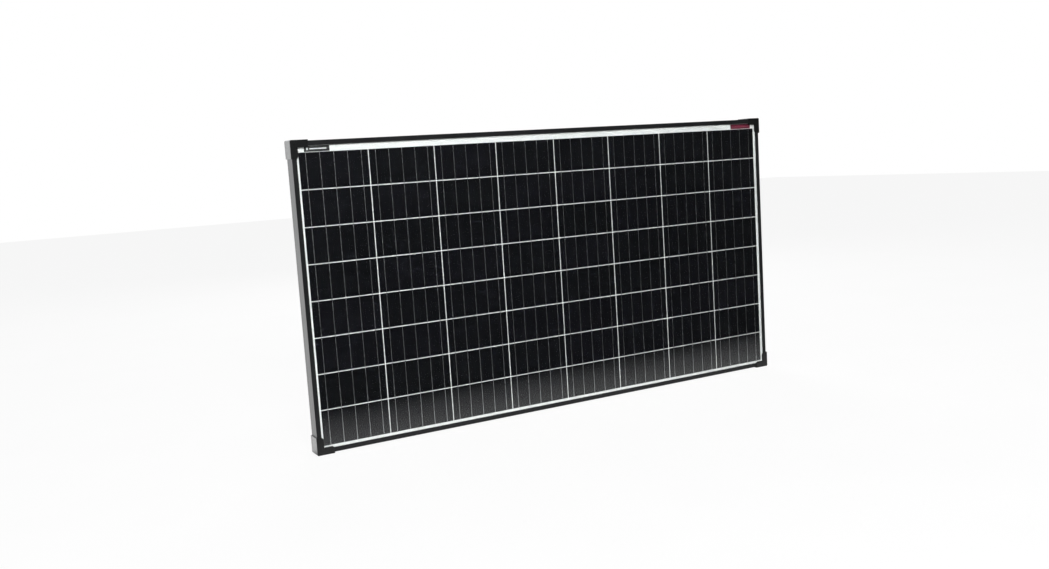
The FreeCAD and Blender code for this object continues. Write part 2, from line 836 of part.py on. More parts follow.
def knuckle_spans():
    return [(f"{centre} - knuckle_width / 2", f"{centre} + knuckle_width / 2")
            for centre in ("hinge_spread", "0 - hinge_spread")]


def make_box_housing():
    body = new_body("junction_box_housing")
    outer = new_sketch(body, "XZ_Plane")
    add_polygon(outer, centred("box_width", "box_height"))
    pad(body, outer, "box_depth", flip=True)
    fillet(body, "box_round", lambda edge: runs_along(edge, "Y"))
    inside = new_sketch(body, "XZ_Plane", "0 - box_floor")
    add_polygon(inside, centred("box_width - 2 * box_wall", "box_height - 2 * box_wall"))
    pocket(body, inside, "box_depth")
    posts = new_sketch(body, "XZ_Plane")
    add_boss_circles(posts, "boss_across", ["0 - boss_drop"], "boss_radius")
    pad(body, posts, "boss_top", flip=True)
    plate_posts = new_sketch(body, "XZ_Plane")
    add_boss_circles(plate_posts, "post_across", ["post_low", "post_high"], "post_radius")
    pad(body, plate_posts, "plate_start", flip=True)
    entry = new_sketch(body, "XZ_Plane")
    add_rectangle(entry, "0 - entry_half_width", "entry_height - entry_half_height",
                  "entry_half_width", "entry_height + entry_half_height")
    pocket(body, entry, "2 * box_floor")
    lid_holes = new_sketch(body, "XZ_Plane", "0 - lid_screw_floor")
    add_boss_circles(lid_holes, "boss_across", ["0 - boss_drop"], "lid_screw_hole")
    pocket(body, lid_holes, "box_depth")
    plate_holes = new_sketch(body, "XZ_Plane", "0 - box_floor")
    add_boss_circles(plate_holes, "post_across", ["post_low", "post_high"],
                     "terminal_screw_radius + post_hole_clearance")
    pocket(body, plate_holes, "box_depth")
    glands = new_sketch(body, "XY_Plane")
    for sign in BOTH_SIDES:
        add_circle(glands, f"{sign}gland_across", "gland_depth", "gland_hole")
    pocket(body, glands, "box_height")
    low = "box_half_height - web_root"
    rim = "box_depth - rim_clearance"
    clear = "box_half_height + ear_clearance"
    ear = [("ear_start", low), (rim, low), (rim, clear), ("hinge_depth", clear),
           ("hinge_depth", "hinge_height"), ("ear_start", "hinge_height")]
    hinge_plates(body, ear, ear_spans(), "pin_radius")
    place_in_box(body)


def make_box_lid():
    body = new_body("junction_box_lid")
    plate = new_sketch(body, "XZ_Plane", "0 - lid_start")
    add_polygon(plate, centred("box_width - 2 * lid_inset", "box_height - 2 * lid_inset"))
    pad(body, plate, "lid_thickness", flip=True)
    fillet(body, "box_round", lambda edge: runs_along(edge, "Y"))
    fillet(body, "lid_edge_round", both_ends(lambda point: near(point.y, "lid_top")))
    rib = new_sketch(body, "XZ_Plane", "0 - lid_start")
    for gap in ("lid_rib_gap", "lid_rib_gap + lid_rib_width"):
        inset = f"2 * (box_wall + {gap})"
        add_polygon(rib, centred(f"box_width - {inset}", f"box_height - {inset}"))
    pad(body, rib, "lid_rib_depth")
    groove = new_sketch(body, "XZ_Plane", "0 - lid_start")
    for edge in ("gasket_inset - gasket_clearance", "gasket_inset + gasket_width + gasket_clearance"):
        add_polygon(groove, centred(f"box_width - 2 * ({edge})", f"box_height - 2 * ({edge})"))
    pocket(body, groove, "gasket_height - gasket_proud")
    panel = new_sketch(body, "XZ_Plane", "0 - lid_top")
    add_polygon(panel, centred("lid_panel_width", "lid_panel_height"))
    pad(body, panel, "lid_panel_rise", flip=True)
    holes = new_sketch(body, "XZ_Plane")
    add_boss_circles(holes, "boss_across", ["0 - boss_drop"], "lid_screw_radius + lid_hole_clearance")
    pocket(body, holes)
    heads = new_sketch(body, "XZ_Plane", "lid_head_recess - lid_top")
    add_boss_circles(heads, "boss_across", ["0 - boss_drop"], "lid_head_hole")
    pocket(body, heads, "lid_thickness")
    web = rectangle("lid_start", "box_half_height - lid_inset - ear_gap",
                    "lid_top - web_step", "hinge_height")
    hinge_plates(body, web, knuckle_spans(), "pin_radius + pin_clearance")
    place_in_box(body)


def make_lid_fittings():
    gasket = sheet("lid_gasket", "gasket_height", [
        centred("box_width - 2 * gasket_inset", "box_height - 2 * gasket_inset"),
        centred("box_width - 2 * (gasket_inset + gasket_width)",
                "box_height - 2 * (gasket_inset + gasket_width)")])
    place_in_box(gasket, y="lid_start - gasket_proud")
    pins = new_body("hinge_pins", several=True)
    length = "knuckle_width + 2 * (ear_gap + ear_width + pin_overhang)"
    for centre in ("hinge_spread", "0 - hinge_spread"):
        sketch = new_sketch(pins, "YZ_Plane", f"{centre} - ({length}) / 2")
        add_circle(sketch, "hinge_depth", "hinge_height", "pin_radius")
        pad(pins, sketch, length)
    place_in_box(pins)
    screws = new_body("lid_screws", several=True)
    shanks = new_sketch(screws, "XZ_Plane", "0 - lid_screw_tip")
    add_boss_circles(shanks, "boss_across", ["0 - boss_drop"], "lid_screw_radius")
    pad(screws, shanks, "lid_top - lid_head_recess - lid_screw_tip", flip=True)
    heads = new_sketch(screws, "XZ_Plane", "lid_head_recess - lid_top")
    add_boss_circles(heads, "boss_across", ["0 - boss_drop"], "lid_head_radius")
    pad(screws, heads, "lid_head_height", flip=True)
    head_top = "lid_top - lid_head_recess + lid_head_height"
    slots = new_sketch(screws, "XZ_Plane", f"screw_slot_depth - ({head_top})")
    for sign in BOTH_SIDES:
        middle = f"{sign}boss_across"
        add_rectangle(slots, f"{middle} - lid_head_hole", "0 - boss_drop - screw_slot_width / 2",
                      f"{middle} + lid_head_hole", "0 - boss_drop + screw_slot_width / 2")
    pocket(screws, slots, "2 * screw_slot_depth")
    place_in_box(screws)


def make_terminals():
    """The two brass plates, their screws, and the bypass diodes that bridge them."""
    for label, side in (("terminal_negative", "0 - "), ("terminal_positive", "")):
        body = new_body(label)
        sketch = new_sketch(body, "XZ_Plane")
        add_rectangle(sketch, f"{side}plate_inner", "plate_bottom",
                      f"{side}plate_outer", "plate_top")
        for height in ("post_low", "post_high"):
            add_circle(sketch, f"{side}post_across", height,
                       "terminal_screw_radius + plate_hole_clearance")
        pad(body, sketch, "plate_thickness", flip=True)
        place_in_box(body, y="plate_start")
    plate_face = "plate_start + plate_thickness"
    screws = new_body("terminal_screws", several=True)
    shanks = new_sketch(screws, "XZ_Plane", "0 - terminal_screw_tip")
    add_boss_circles(shanks, "post_across", ["post_low", "post_high"], "terminal_screw_radius")
    pad(screws, shanks, f"{plate_face} - terminal_screw_tip", flip=True)
    heads = new_sketch(screws, "XZ_Plane", f"0 - ({plate_face})")
    add_boss_circles(heads, "post_across", ["post_low", "post_high"], "terminal_head_radius")
    pad(screws, heads, "terminal_head_height", flip=True)
    place_in_box(screws)
    diodes = new_body("bypass_diodes", several=True)
    sketch = new_sketch(diodes, "YZ_Plane")
    for height in ("diode_low", "diode_high"):
        add_circle(sketch, "diode_depth", height, "diode_radius")
    pad(diodes, sketch, "diode_length", symmetric=True)
    place_in_box(diodes)
    leads = new_body("diode_leads", several=True)
    for height in ("diode_low", "diode_high"):
        sketch = new_sketch(leads, "XY_Plane", height)
        for side in BOTH_SIDES:
            start = f"{side}diode_length / 2"
            end = f"{side}diode_lead_reach"
            bend = f"{side}(diode_lead_reach - 2 * diode_lead_half)"
            add_polygon(sketch, [
                (start, "diode_depth + diode_lead_half"), (end, "diode_depth + diode_lead_half"),
                (end, plate_face), (bend, plate_face),
                (bend, "diode_depth - diode_lead_half"), (start, "diode_depth - diode_lead_half")])
        pad(leads, sketch, "2 * diode_lead_half", symmetric=True)
    place_in_box(leads)


def make_gland(name, side):
    """A cable gland under the junction box: threaded body and dome nut, about a vertical axis."""
    body = new_body(f"gland_body_{name}")
    profile = new_sketch(body, "XZ_Plane")
    add_polygon(profile, [
        ("gland_bore", "0 - gland_stem"), ("gland_thread", "0 - gland_stem"),
        ("gland_thread", "0 - gland_collar"), ("gland_flange", "0 - gland_collar"),
        ("gland_flange", "0"), ("gland_hole", "0"), ("gland_hole", "box_wall + gland_end"),
        ("gland_bore", "box_wall + gland_end")])
    revolve(body, profile)
    hexagon = new_sketch(body, "XY_Plane", "0 - gland_collar")
    add_polygon(hexagon, [
        (f"gland_hexagon * {math.cos(math.radians(60 * turn)):.6f}",
         f"gland_hexagon * {math.sin(math.radians(60 * turn)):.6f}") for turn in range(6)])
    add_circle(hexagon, "0", "0", "gland_thread")
    pad(body, hexagon, "gland_collar - gland_hexagon_start")
    place_in_box(body, side, "gland_depth", "0 - box_half_height")
    nut = new_body(f"gland_nut_{name}")
    shell = new_sketch(nut, "XZ_Plane")
    add_polygon(shell, [
        ("nut_bore", "0 - nut_start"), ("nut_radius", "0 - nut_start"),
        ("nut_radius", "nut_slope - nut_end"), ("nut_mouth + nut_lip", "0 - nut_end"),
        ("nut_mouth", "0 - nut_end"), ("nut_mouth", "nut_floor - nut_end"),
        ("nut_bore", "nut_floor - nut_end")])
    revolve(nut, shell)
    groove = new_sketch(nut, "XY_Plane", "nut_groove_start - nut_end")
    add_circle(groove, "nut_radius + nut_groove_radius / 2", "0", "nut_groove_radius")
    cut = pocket(nut, groove, "nut_groove_length", flip=True)
    grooves = nut.newObject("PartDesign::PolarPattern", f"{nut.Label}_grooves")
    grooves.Originals = [cut]
    grooves.Axis = (groove, ["N_Axis"])
    grooves.Angle = 360
    bind(grooves, "Occurrences", "nut_grooves")
    nut.Tip = grooves
    doc.recompute()
    place_in_box(nut, side, "gland_depth", "0 - box_half_height")


def make_gland_seals():
    body = new_body("gland_seals", several=True)
    sketch = new_sketch(body, "XY_Plane", "nut_floor - nut_end")
    for side in BOTH_SIDES:
        for radius in ("gland_thread", "seal_bore"):
            add_circle(sketch, f"{side}gland_across", "0", radius)
    pad(body, sketch, "nut_end - nut_floor - gland_stem")
    place_in_box(body, "0", "gland_depth", "0 - box_half_height")


def make_adhesive():
    pad_sheet = sheet("junction_box_adhesive", "pad_thickness", [
        centred("box_width - 2 * pad_inset", "box_height - 2 * pad_inset"),
        rectangle("0 - entry_half_width", "entry_height - entry_half_height",
                  "entry_half_width", "entry_height + entry_half_height")])
    place_in_box(pad_sheet, y="0 - pad_thickness")


# ---------------------------------------------------------------- assembly


def check_and_export():
    doc.recompute()
    for item in doc.Objects:
        if "Invalid" in item.State or "Error" in item.State:
            raise RuntimeError(f"{item.Label}: {item.State}")
    for node in nodes:
        if node.Shape.isNull() or not node.Shape.isValid():
            raise RuntimeError(f"{node.Label}: bad shape")
    os.makedirs("parts", exist_ok=True)
    for node in nodes:
        node.Shape.exportStep(f"parts/{node.Label}.step")


for side_name in SIDES:
    make_rail(side_name)
    make_edge_seal(side_name)
for corner_name in CORNERS:
    make_corner_key(corner_name)
    make_corner_cap(corner_name)
make_laminate_sheets()
for column_number in range(1, COLUMNS + 1):
    make_cell_column(column_number)
    make_cell_ribbons(column_number)
make_bus_ribbons()
make_mask_strips()
make_lead_ribbons()
make_labels()
make_adhesive()
make_box_housing()
make_box_lid()
make_lid_fittings()
make_terminals()
make_gland("left", "0 - gland_across")
make_gland("right", "gland_across")
make_gland_seals()
check_and_export()
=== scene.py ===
import json
import math
import random

import bmesh
import bpy
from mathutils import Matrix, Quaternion, Vector


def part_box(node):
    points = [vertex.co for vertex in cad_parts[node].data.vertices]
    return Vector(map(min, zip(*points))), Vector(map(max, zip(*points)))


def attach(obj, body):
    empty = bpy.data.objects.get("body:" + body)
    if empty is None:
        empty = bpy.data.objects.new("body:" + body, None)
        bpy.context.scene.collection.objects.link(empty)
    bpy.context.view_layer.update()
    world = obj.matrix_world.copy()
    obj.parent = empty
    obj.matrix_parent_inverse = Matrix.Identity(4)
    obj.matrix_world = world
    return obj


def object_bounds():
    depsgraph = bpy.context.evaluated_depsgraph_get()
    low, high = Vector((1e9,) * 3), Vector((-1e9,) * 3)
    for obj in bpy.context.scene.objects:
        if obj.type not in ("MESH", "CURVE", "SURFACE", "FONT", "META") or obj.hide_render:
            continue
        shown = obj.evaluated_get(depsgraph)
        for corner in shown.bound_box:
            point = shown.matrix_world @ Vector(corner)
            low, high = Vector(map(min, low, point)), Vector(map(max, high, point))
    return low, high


# Looks of a framed solar panel. Row frame in metres: X along the long side, -Y to the front, Z up.

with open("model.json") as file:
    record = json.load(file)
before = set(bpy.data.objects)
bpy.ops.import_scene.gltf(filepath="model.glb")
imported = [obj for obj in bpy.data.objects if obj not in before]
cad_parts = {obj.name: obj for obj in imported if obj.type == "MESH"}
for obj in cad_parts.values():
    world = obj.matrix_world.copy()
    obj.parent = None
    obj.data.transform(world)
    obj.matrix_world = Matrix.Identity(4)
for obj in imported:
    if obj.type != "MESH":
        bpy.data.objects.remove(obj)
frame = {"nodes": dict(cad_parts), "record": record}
cad_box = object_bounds()
nodes = frame["nodes"]
record = frame["record"]
slot_of = {part["node"]: part["material_slot"] for part in record["subparts"]}

MM = 0.001

# ---------------------------------------------------------------- sizes read from the frame

backsheet_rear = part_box("backsheet")[1].y
rails_low_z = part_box("rail_bottom")[0].z
rails_high_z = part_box("rail_top")[1].z
rails_half_x = -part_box("rail_left")[0].x
first_low, first_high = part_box("cell_column_1")
second_low_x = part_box("cell_column_2")[0].x
housing_low, housing_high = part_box("junction_box_housing")
lid_low_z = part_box("junction_box_lid")[0].z

CELL_ROWS = 8
pitch_across = second_low_x - first_low.x
cell_gap = second_low_x - first_high.x
pitch_down = (first_high.z - first_low.z + cell_gap) / CELL_ROWS
cells_middle = Vector((0, first_low.y, (first_low.z + first_high.z) / 2))

# The frame's lip, and details of the junction box, which the frame's boxes don't give
LIP_WIDTH = 10.5 * MM
BOX_HEIGHT = 89.7 * MM
BOX_CORNER = 5 * MM
LID_FACE = 21.3 * MM
LID_PANEL_HEIGHT = 0.6 * MM
lid_face_y = housing_low.y + LID_FACE


# ---------------------------------------------------------------- node helpers


def add(tree, kind, inputs=None, **settings):
    """A node with its settings. An input is linked when its value is a socket, or else set."""
    made = tree.nodes.new(kind)
    for name, value in settings.items():
        setattr(made, name, value)
    for name, value in (inputs or {}).items():
        if isinstance(value, bpy.types.NodeSocket):
            tree.links.new(value, made.inputs[name])
        else:
            made.inputs[name].default_value = value
    return made


def maths(tree, operation, *values):
    """A Math node's result, from numbers or sockets."""
    made = tree.nodes.new("ShaderNodeMath")
    made.operation = operation
    for index, value in enumerate(values):
        if isinstance(value, bpy.types.NodeSocket):
            tree.links.new(value, made.inputs[index])
        else:
            made.inputs[index].default_value = value
    return made.outputs[0]


def place_coordinates(tree):
    """The place on the object, in metres in the row frame."""
    return add(tree, "ShaderNodeTexCoord").outputs["Object"]


def place_axes(tree):
    """The place on the object, split into its X, Y and Z."""
    return add(tree, "ShaderNodeSeparateXYZ", {"Vector": place_coordinates(tree)}).outputs


def stretched(tree, scale):
    """Coordinates scaled per axis, in features per metre."""
    return add(tree, "ShaderNodeMapping",
               {"Vector": place_coordinates(tree), "Scale": scale}).outputs["Vector"]


def noise(tree, scale, detail=3.0, roughness=0.5):
    """Noise between about 0.25 and 0.75, from a scale per axis."""
    return add(tree, "ShaderNodeTexNoise",
               {"Vector": stretched(tree, scale), "Scale": 1.0, "Detail": detail,
                "Roughness": roughness}).outputs["Fac"]


def spread(tree, value, low, high, start=0.3, end=0.7):
    """Map a value from start..end to low..high."""
    return add(tree, "ShaderNodeMapRange",
               {"Value": value, "From Min": start, "From Max": end,
                "To Min": low, "To Max": high}).outputs["Result"]


def blend_colours(tree, factor, first, second):
    """A mix of two colours, each an RGB tuple or a socket."""
    made = add(tree, "ShaderNodeMix", data_type="RGBA")
    tree.links.new(factor, made.inputs[0])
    for socket, value in ((made.inputs[6], first), (made.inputs[7], second)):
        if isinstance(value, bpy.types.NodeSocket):
            tree.links.new(value, socket)
        else:
            socket.default_value = (*value, 1.0)
    return made.outputs[2]


def bump(tree, height, distance, strength, below=None):
    """A bumped normal, on top of another one when it is given."""
    inputs = {"Height": height, "Distance": distance, "Strength": strength}
    if below:
        inputs["Normal"] = below
    return add(tree, "ShaderNodeBump", inputs).outputs["Normal"]


def new_material(name):
    """A material with an empty node tree, and the tree."""
    made = bpy.data.materials.new(name)
    made.use_nodes = True
    made.node_tree.nodes.clear()
    return made, made.node_tree


def shown(tree, shader):
    """Link a shader to the material's output."""
    output = tree.nodes.new("ShaderNodeOutputMaterial")
    tree.links.new(shader.outputs[0], output.inputs["Surface"])


def mixed_shaders(tree, factor, first, second):
    """A mix of two shaders: the first where the factor is 0, the second where it is 1."""
    made = tree.nodes.new("ShaderNodeMixShader")
    for socket, source in zip(made.inputs, (factor, first.outputs[0], second.outputs[0])):
        tree.links.new(source, socket)
    return made


def principled(tree, inputs):
    """Add a Principled shader and show it."""
    shown(tree, add(tree, "ShaderNodeBsdfPrincipled", inputs))


# ---------------------------------------------------------------- materials

# Embossed features per metre, how far the cells' relief reaches past a gap (in gaps), how much the film
# is greyed over the cells (partly the cells' grey showing through, partly painted shadow), and the silver
# print lines on the cells
EMBOSSING = 900
RELIEF_REACH = 1.5
CELL_GREY_AND_PAINTED_SHADOW = 0.12
FINGER_PITCH = 1.55 * MM
FINGER_SHARE = 0.08


def anodised(name, grain):
    """Satin black anodised extrusion, with draw lines along the rail."""
    made, tree = new_material(name)
    lines = noise(tree, grain, 4.0, 0.6)
    cloud = noise(tree, (9, 9, 9))
    grit = noise(tree, (2600, 2600, 2600), 2.0)
    base = blend_colours(tree, spread(tree, cloud, 0, 1),
                         (0.008, 0.0084, 0.0092), (0.013, 0.0134, 0.0145))
    rough = maths(tree, "ADD", spread(tree, lines, 0.34, 0.43), spread(tree, cloud, 0.0, 0.05))
    first = bump(tree, lines, 0.00006, 0.5)
    principled(tree, {"Base Color": base, "Roughness": rough, "IOR": 1.5, "Specular IOR Level": 0.25,
                      "Normal": bump(tree, grit, 0.00002, 0.5, first)})
    return made


def moulded(name, dark, light, rough, grain=2400.0, depth=0.00004, gloss=0.5):
    """Moulded plastic with a fine spark-eroded grain and slight cloudiness."""
    made, tree = new_material(name)
    grain_noise = noise(tree, (grain, grain, grain), 2.0)
    cloud = noise(tree, (35, 35, 35), 3.0)
    scuff = noise(tree, (260, 90, 260), 5.0, 0.7)
    base = blend_colours(tree, spread(tree, cloud, 0, 1), dark, light)
    level = maths(tree, "ADD", spread(tree, scuff, rough - 0.06, rough + 0.06),
                  spread(tree, grain_noise, -0.03, 0.03))
    principled(tree, {"Base Color": base, "Roughness": level, "IOR": 1.5, "Specular IOR Level": gloss,
                      "Normal": bump(tree, grain_noise, depth, 0.6)})
    return made


def rubber(name, dark, light, rough):
    """Rubber, foam or silicone with fine pores."""
    made, tree = new_material(name)
    pores = noise(tree, (1500, 1500, 1500), 4.0, 0.6)
    cloud = noise(tree, (60, 60, 60))
    base = blend_colours(tree, spread(tree, cloud, 0, 1), dark, light)
    principled(tree, {"Base Color": base, "Roughness": spread(tree, pores, rough - 0.1, rough + 0.1),
                      "Normal": bump(tree, pores, 0.00006, 0.6)})
    return made


def metal(name, dark, light, low, high, grain=(1500, 1500, 60)):
    """Drawn or rolled metal, with its grain stretched along one axis."""
    made, tree = new_material(name)
    lines = noise(tree, grain, 4.0, 0.65)
    cloud = noise(tree, (120, 120, 120), 3.0)
    base = blend_colours(tree, spread(tree, cloud, 0, 1), dark, light)
    rough = maths(tree, "ADD", spread(tree, lines, low, high), spread(tree, cloud, -0.03, 0.03))
    principled(tree, {"Base Color": base, "Metallic": 1.0, "Roughness": rough,
                      "Normal": bump(tree, lines, 0.00001, 0.4)})
    return made


def embossing(tree):
    """The faint cellular texture of a laminated film."""
    place = stretched(tree, (EMBOSSING, EMBOSSING, EMBOSSING))
    return add(tree, "ShaderNodeTexVoronoi", {"Vector": place, "Scale": 1.0}).outputs["Distance"]


def film(name, dark, light, rough):
    """White polymer film with a faint embossed texture."""
    made, tree = new_material(name)
    emboss = embossing(tree)
    cloud = noise(tree, (14, 14, 14))
    base = blend_colours(tree, spread(tree, cloud, 0, 1), dark, light)
    principled(tree, {"Base Color": base, "Roughness": spread(tree, emboss, rough, rough + 0.12, 0, 1),
                      "Normal": bump(tree, emboss, 0.00003, 0.35)})
    return made


def backsheet_film():
    """White film pressed over the cells, whose outlines show through as a slight relief."""
    made, tree = new_material("backsheet_film")
    emboss = embossing(tree)
    place = place_axes(tree)
    relief = None
    for axis, start, pitch in (("X", first_low.x, pitch_across), ("Z", first_low.z, pitch_down)):
        counted = maths(tree, "DIVIDE", maths(tree, "SUBTRACT", place[axis], start), pitch)
        share = maths(tree, "FRACT", counted)
        edge = RELIEF_REACH * cell_gap / pitch
        flank = maths(tree, "MULTIPLY", spread(tree, share, 0, 1, 0.0, edge),
                      spread(tree, share, 1, 0, 1 - 2 * edge, 1 - edge))
        relief = flank if relief is None else maths(tree, "MULTIPLY", relief, flank)
    cloud = noise(tree, (14, 14, 14))
    base = blend_colours(tree, spread(tree, cloud, 0, 1), (0.80, 0.81, 0.81), (0.85, 0.85, 0.85))
    # Painted shadow of the cells: the film's colour is greyed over each cell and left white in the gaps,
    # partly the cells' grey showing through the thin film and partly shade painted into the colour
    cell_grey_and_painted_shadow = maths(tree, "MULTIPLY", relief, CELL_GREY_AND_PAINTED_SHADOW)
    shaded = blend_colours(tree, cell_grey_and_painted_shadow, base, (0.55, 0.57, 0.60))
    first = bump(tree, relief, 0.00025, 0.5)
    principled(tree, {"Base Color": shaded, "Roughness": spread(tree, emboss, 0.42, 0.55, 0, 1),
                      "Normal": bump(tree, emboss, 0.00003, 0.35, first)})
    return made


def cell_silicon():
    """Coated silicon: near black with a blue cast that differs from cell to cell, and fine print."""
    made, tree = new_material("cell_silicon")
    place = place_axes(tree)
    along_x = maths(tree, "SUBTRACT", place["X"], first_low.x)
    along_z = maths(tree, "SUBTRACT", place["Z"], first_low.z)
    column = maths(tree, "FLOOR", maths(tree, "DIVIDE", along_x, pitch_across))
    row = maths(tree, "FLOOR", maths(tree, "DIVIDE", along_z, pitch_down))
    index = add(tree, "ShaderNodeCombineXYZ", {"X": column, "Y": row, "Z": 0.5})
    tint = add(tree, "ShaderNodeTexWhiteNoise", {"Vector": index.outputs[0]}).outputs["Value"]
    grown = noise(tree, (55, 55, 55), 3.0, 0.6)
    coat = blend_colours(tree, tint, (0.0016, 0.0019, 0.0026), (0.0026, 0.0024, 0.0044))
    cloudy = blend_colours(tree, spread(tree, grown, 0, 0.5), coat, (0.0018, 0.0024, 0.0042))
    phase = maths(tree, "FRACT", maths(tree, "DIVIDE", along_z, FINGER_PITCH))
    finger = maths(tree, "LESS_THAN", phase, FINGER_SHARE)
    base = blend_colours(tree, finger, cloudy, (0.016, 0.017, 0.019))
    principled(tree, {"Base Color": base, "Roughness": spread(tree, grown, 0.30, 0.40), "IOR": 1.45,
                      "Specular IOR Level": 0.1,
                      "Normal": bump(tree, grown, 0.00002, 0.2)})
    return made


def tinned_ribbon():
    """Soft tinned copper: bright metal with a slightly wavy surface."""
    made, tree = new_material("tinned_ribbon")
    waves = noise(tree, (400, 400, 90), 3.0, 0.6)
    streaks = noise(tree, (5000, 5000, 120), 3.0, 0.6)
    base = blend_colours(tree, spread(tree, streaks, 0, 1), (0.60, 0.61, 0.62), (0.78, 0.79, 0.80))
    principled(tree, {"Base Color": base, "Metallic": 1.0,
                      "Roughness": spread(tree, streaks, 0.22, 0.32),
                      "Normal": bump(tree, waves, 0.00002, 0.2)})
    return made


def solar_glass():
    """Clear glass with a faint rolled texture. Shadow rays pass straight through it."""
    made, tree = new_material("solar_glass")
    ripple = noise(tree, (25, 25, 25), 2.0)
    haze = noise(tree, (6, 6, 6), 4.0, 0.6)
    glass = add(tree, "ShaderNodeBsdfPrincipled", {
        "Base Color": (0.975, 0.99, 0.985, 1), "IOR": 1.45, "Transmission Weight": 1.0,
        "Roughness": spread(tree, haze, 0.02, 0.035),
        "Normal": bump(tree, ripple, 0.00002, 0.2)})
    clear = add(tree, "ShaderNodeBsdfTransparent", {"Color": (0.95, 0.96, 0.955, 1)})
    shadow_ray = add(tree, "ShaderNodeLightPath").outputs["Is Shadow Ray"]
    shown(tree, mixed_shaders(tree, shadow_ray, glass, clear))
    return made


def encapsulant():
    """The clear films either side of the cells, all but invisible once laminated."""
    made, tree = new_material("encapsulant_film")
    cloud = noise(tree, (20, 20, 20))
    tint = blend_colours(tree, spread(tree, cloud, 0, 1), (0.985, 0.987, 0.985), (0.995, 0.995, 0.995))
    shown(tree, add(tree, "ShaderNodeBsdfTransparent", {"Color": tint}))
    return made


def within(tree, value, low, high):
    """1 where a value lies between two limits, or else 0."""
    above = maths(tree, "GREATER_THAN", value, low)
    below = maths(tree, "LESS_THAN", value, high)
    return maths(tree, "MULTIPLY", above, below)


def printed_tag(name, node, ground, mark, bars):
    """A printed tag: a ground with a few plain bars, each (left, right, low, high) as shares."""
    made, tree = new_material(name)
    low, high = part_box(node)
    place = place_axes(tree)
    across = maths(tree, "DIVIDE", maths(tree, "SUBTRACT", place["X"], low.x), high.x - low.x)
    up = maths(tree, "DIVIDE", maths(tree, "SUBTRACT", place["Z"], low.z), high.z - low.z)
    inked = None
    for left, right, bottom, top in bars:
        bar = maths(tree, "MULTIPLY", within(tree, across, left, right), within(tree, up, bottom, top))
        inked = bar if inked is None else maths(tree, "MAXIMUM", inked, bar)
    speckle = noise(tree, (900, 900, 900), 3.0)
    darker = tuple(0.8 * part for part in ground)
    paper = blend_colours(tree, spread(tree, speckle, 0, 1), darker, ground)
    base = blend_colours(tree, inked, paper, mark)
    principled(tree, {"Base Color": base, "Roughness": spread(tree, speckle, 0.38, 0.5),
                      "Normal": bump(tree, speckle, 0.00001, 0.3)})
    return made


rails_along_x = anodised("anodised_along_x", (3, 1100, 1100))
rails_along_z = anodised("anodised_along_z", (1100, 1100, 3))

MATERIALS = {
    "raw_aluminium": metal("mill_aluminium", (0.60, 0.60, 0.61), (0.72, 0.72, 0.73), 0.35, 0.5),
    "corner_plastic": moulded("cap_plastic", (0.005, 0.0052, 0.0055), (0.008, 0.0082, 0.0086), 0.32,
                              depth=0.00002, gloss=0.35),
    "seal_foam": rubber("foam_gasket", (0.02, 0.02, 0.02), (0.035, 0.035, 0.035), 0.8),
    "front_glass": solar_glass(),
    "encapsulant": encapsulant(),
    "white_encapsulant": film("white_encapsulant", (0.82, 0.83, 0.83), (0.85, 0.85, 0.85), 0.45),
    "white_backsheet": backsheet_film(),
    "silicon_cell": cell_silicon(),
    "tinned_ribbon": tinned_ribbon(),
    "white_mask": film("mask_film", (0.79, 0.80, 0.80), (0.83, 0.83, 0.83), 0.5),
    "insulation": film("insulation_film", (0.74, 0.74, 0.72), (0.80, 0.80, 0.78), 0.5),
    "black_tag": printed_tag("black_tag", "front_tag_left", (0.012, 0.012, 0.013), (0.72, 0.73, 0.74),
                             [(0.09, 0.16, 0.30, 0.70), (0.22, 0.88, 0.40, 0.60)]),
    "red_tag": printed_tag("red_tag", "front_tag_right", (0.135, 0.009, 0.03), (0.27, 0.05, 0.08),
                           [(0.08, 0.92, 0.42, 0.54)]),
    "rating_plate": printed_tag("rating_plate", "rear_label", (0.66, 0.67, 0.68), (0.06, 0.06, 0.065),
                                [(0.04, 0.96, 0.93, 0.945), (0.04, 0.96, 0.055, 0.07),
                                 (0.04, 0.96, 0.70, 0.708), (0.04, 0.96, 0.38, 0.388),
                                 (0.50, 0.504, 0.06, 0.70)]),
    "box_plastic": moulded("box_plastic", (0.012, 0.012, 0.0125), (0.019, 0.019, 0.0195), 0.44,
                           1800.0),
    "silicone": rubber("white_silicone", (0.66, 0.66, 0.65), (0.76, 0.76, 0.75), 0.45),
    "gasket_rubber": rubber("gasket_rubber", (0.03, 0.03, 0.033), (0.05, 0.05, 0.055), 0.65),
    "terminal_brass": metal("terminal_brass", (0.40, 0.27, 0.10), (0.54, 0.38, 0.16), 0.28, 0.42,
                            (1500, 1500, 90)),
    "screw_steel": metal("zinc_steel", (0.22, 0.22, 0.23), (0.34, 0.34, 0.35), 0.3, 0.45,
                         (900, 900, 900)),
    "diode_body": moulded("diode_epoxy", (0.010, 0.010, 0.011), (0.016, 0.016, 0.017), 0.3, 3000.0,
                          0.00002),
    "diode_lead": metal("tinned_wire", (0.42, 0.42, 0.43), (0.54, 0.54, 0.55), 0.24, 0.36),
    "gland_plastic": moulded("gland_nylon", (0.013, 0.013, 0.014), (0.021, 0.021, 0.022), 0.42,
                             2000.0),
}

for node_name, item in nodes.items():
    slot_name = slot_of[node_name]
    if slot_name == "anodised_frame":
        chosen = rails_along_x if node_name in ("rail_top", "rail_bottom") else rails_along_z
    else:
        chosen = MATERIALS[slot_name]
    item.data.materials.clear()
    item.data.materials.append(chosen)


# ---------------------------------------------------------------- added pieces

# Beads: points on a quarter turn, how far the bead's root sits back, and (width, height, corner,
# spacing along it) of each
ARC_STEPS = 4
BEAD_ROOT = 1.0 * MM
BEAD_BULGE = 0.18
WIDTH_RANGE = (0.85, 1.15)
HEIGHT_RANGE = (0.88, 1.12)
FRAME_BEAD = (3.0 * MM, 2.2 * MM, 3.5 * MM, 20 * MM)
BOX_BEAD = (2.0 * MM, 1.9 * MM, BOX_CORNER, 8 * MM)

